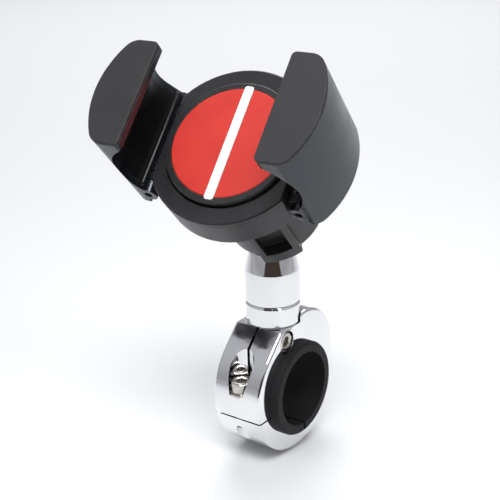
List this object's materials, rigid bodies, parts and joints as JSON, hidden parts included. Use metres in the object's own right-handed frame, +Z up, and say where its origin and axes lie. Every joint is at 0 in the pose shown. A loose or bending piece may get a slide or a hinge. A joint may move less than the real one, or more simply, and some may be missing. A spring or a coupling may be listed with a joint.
{
  "type": "handlebar phone mount",
  "caption": "Chrome handlebar clamp and stem carrying a ball-jointed black phone holder with two linked spring jaws and a red rubber push plate.",
  "frame": {"origin": "point where the handlebar axis meets the stem axis, at the middle of the clamp bore", "axes": "+X along the handlebar, +Z up the stem, -Y towards the rider"},
  "size_m": [0.0741, 0.0808, 0.1407],
  "materials": {
    "chrome": "mirror chrome plating",
    "ball_steel": "turned steel",
    "fastener_steel": "bright zinc plated steel",
    "black_rubber": "matte rubber",
    "housing_plastic": "fine satin moulding texture",
    "jaw_plastic": "satin moulding",
    "liner_plastic": "polished black",
    "soft_touch": "matte soft-touch facing",
    "red_rubber": "matte red rubber",
    "white_strip": "glossy white",
    "nylon": "natural nylon"
  },
  "bodies": {
    "clamp": {"clamp_upper": "chrome", "clamp_lower": "chrome", "clamp_screws": "fastener_steel", "clamp_washers": "fastener_steel", "pinch_screw": "fastener_steel", "reducing_sleeve": "black_rubber"},
    "stem": {"stem": "chrome", "ball_stud": "ball_steel"},
    "cradle": {"socket_liner": "nylon", "pressure_ring": "nylon"},
    "head": {"rear_housing": "housing_plastic", "front_ring": "housing_plastic", "case_screws": "fastener_steel", "right_hinge_pin": "fastener_steel", "left_hinge_pin": "fastener_steel", "right_torsion_spring": "fastener_steel", "left_torsion_spring": "fastener_steel"},
    "nut": {"locking_nut": "housing_plastic"},
    "plate": {"push_plate": "housing_plastic", "left_pad": "red_rubber", "right_pad": "red_rubber", "centre_strip": "white_strip"},
    "right_jaw": {"right_jaw_shell": "jaw_plastic", "right_jaw_face": "soft_touch", "right_jaw_liner": "liner_plastic", "right_link_pin": "fastener_steel"},
    "left_jaw": {"left_jaw_shell": "jaw_plastic", "left_jaw_face": "soft_touch", "left_jaw_liner": "liner_plastic", "left_link_pin": "fastener_steel"}
  },
  "joints": [
    {"name": "stem_swivel", "type": "hinge", "parent": "clamp", "child": "stem", "pos_m": [0, 0, 0.03], "axis": [0, 0, 1], "continuous": true},
    {"name": "ball_tilt", "type": "hinge", "parent": "stem", "child": "cradle", "pos_m": [0, 0, 0.0627], "axis": [0.9879, 0.1526, -0.0285], "range_deg": [-91.8, 1.2]},
    {"name": "head_spin", "type": "hinge", "parent": "cradle", "child": "head", "pos_m": [0, 0, 0.0627], "axis": [0.1283, -0.6991, 0.7034], "continuous": true},
    {"name": "nut_turn", "type": "hinge", "parent": "head", "child": "nut", "pos_m": [0.00064, -0.0035, 0.06622], "axis": [0.1283, -0.6991, 0.7034], "range_deg": [0, 120]},
    {"name": "right_jaw_open", "type": "hinge", "parent": "head", "child": "right_jaw", "pos_m": [0.02818, -0.01736, 0.08324], "axis": [-0.0874, 0.6985, 0.7102], "range_deg": [0, 45], "stiffness_Nm_per_rad": 0.04, "springref_deg": -45.84, "deforming": ["right_torsion_spring"]},
    {"name": "left_jaw_open", "type": "hinge", "parent": "head", "child": "left_jaw", "pos_m": [-0.02043, -0.02487, 0.08464], "axis": [0.0874, -0.6985, -0.7102], "range_deg": [0, 45], "stiffness_Nm_per_rad": 0.04, "springref_deg": -45.84, "deforming": ["left_torsion_spring"]},
    {"name": "plate_rise", "type": "slide", "parent": "head", "child": "plate", "axis": [0.1283, -0.6991, 0.7034], "range_m": [0, 0.0081]}
  ],
  "couplings": [
    {"joint": "right_jaw_open", "follows": "plate_rise", "rad_per_m": 96.62},
    {"joint": "left_jaw_open", "follows": "plate_rise", "rad_per_m": 96.62}
  ]
}
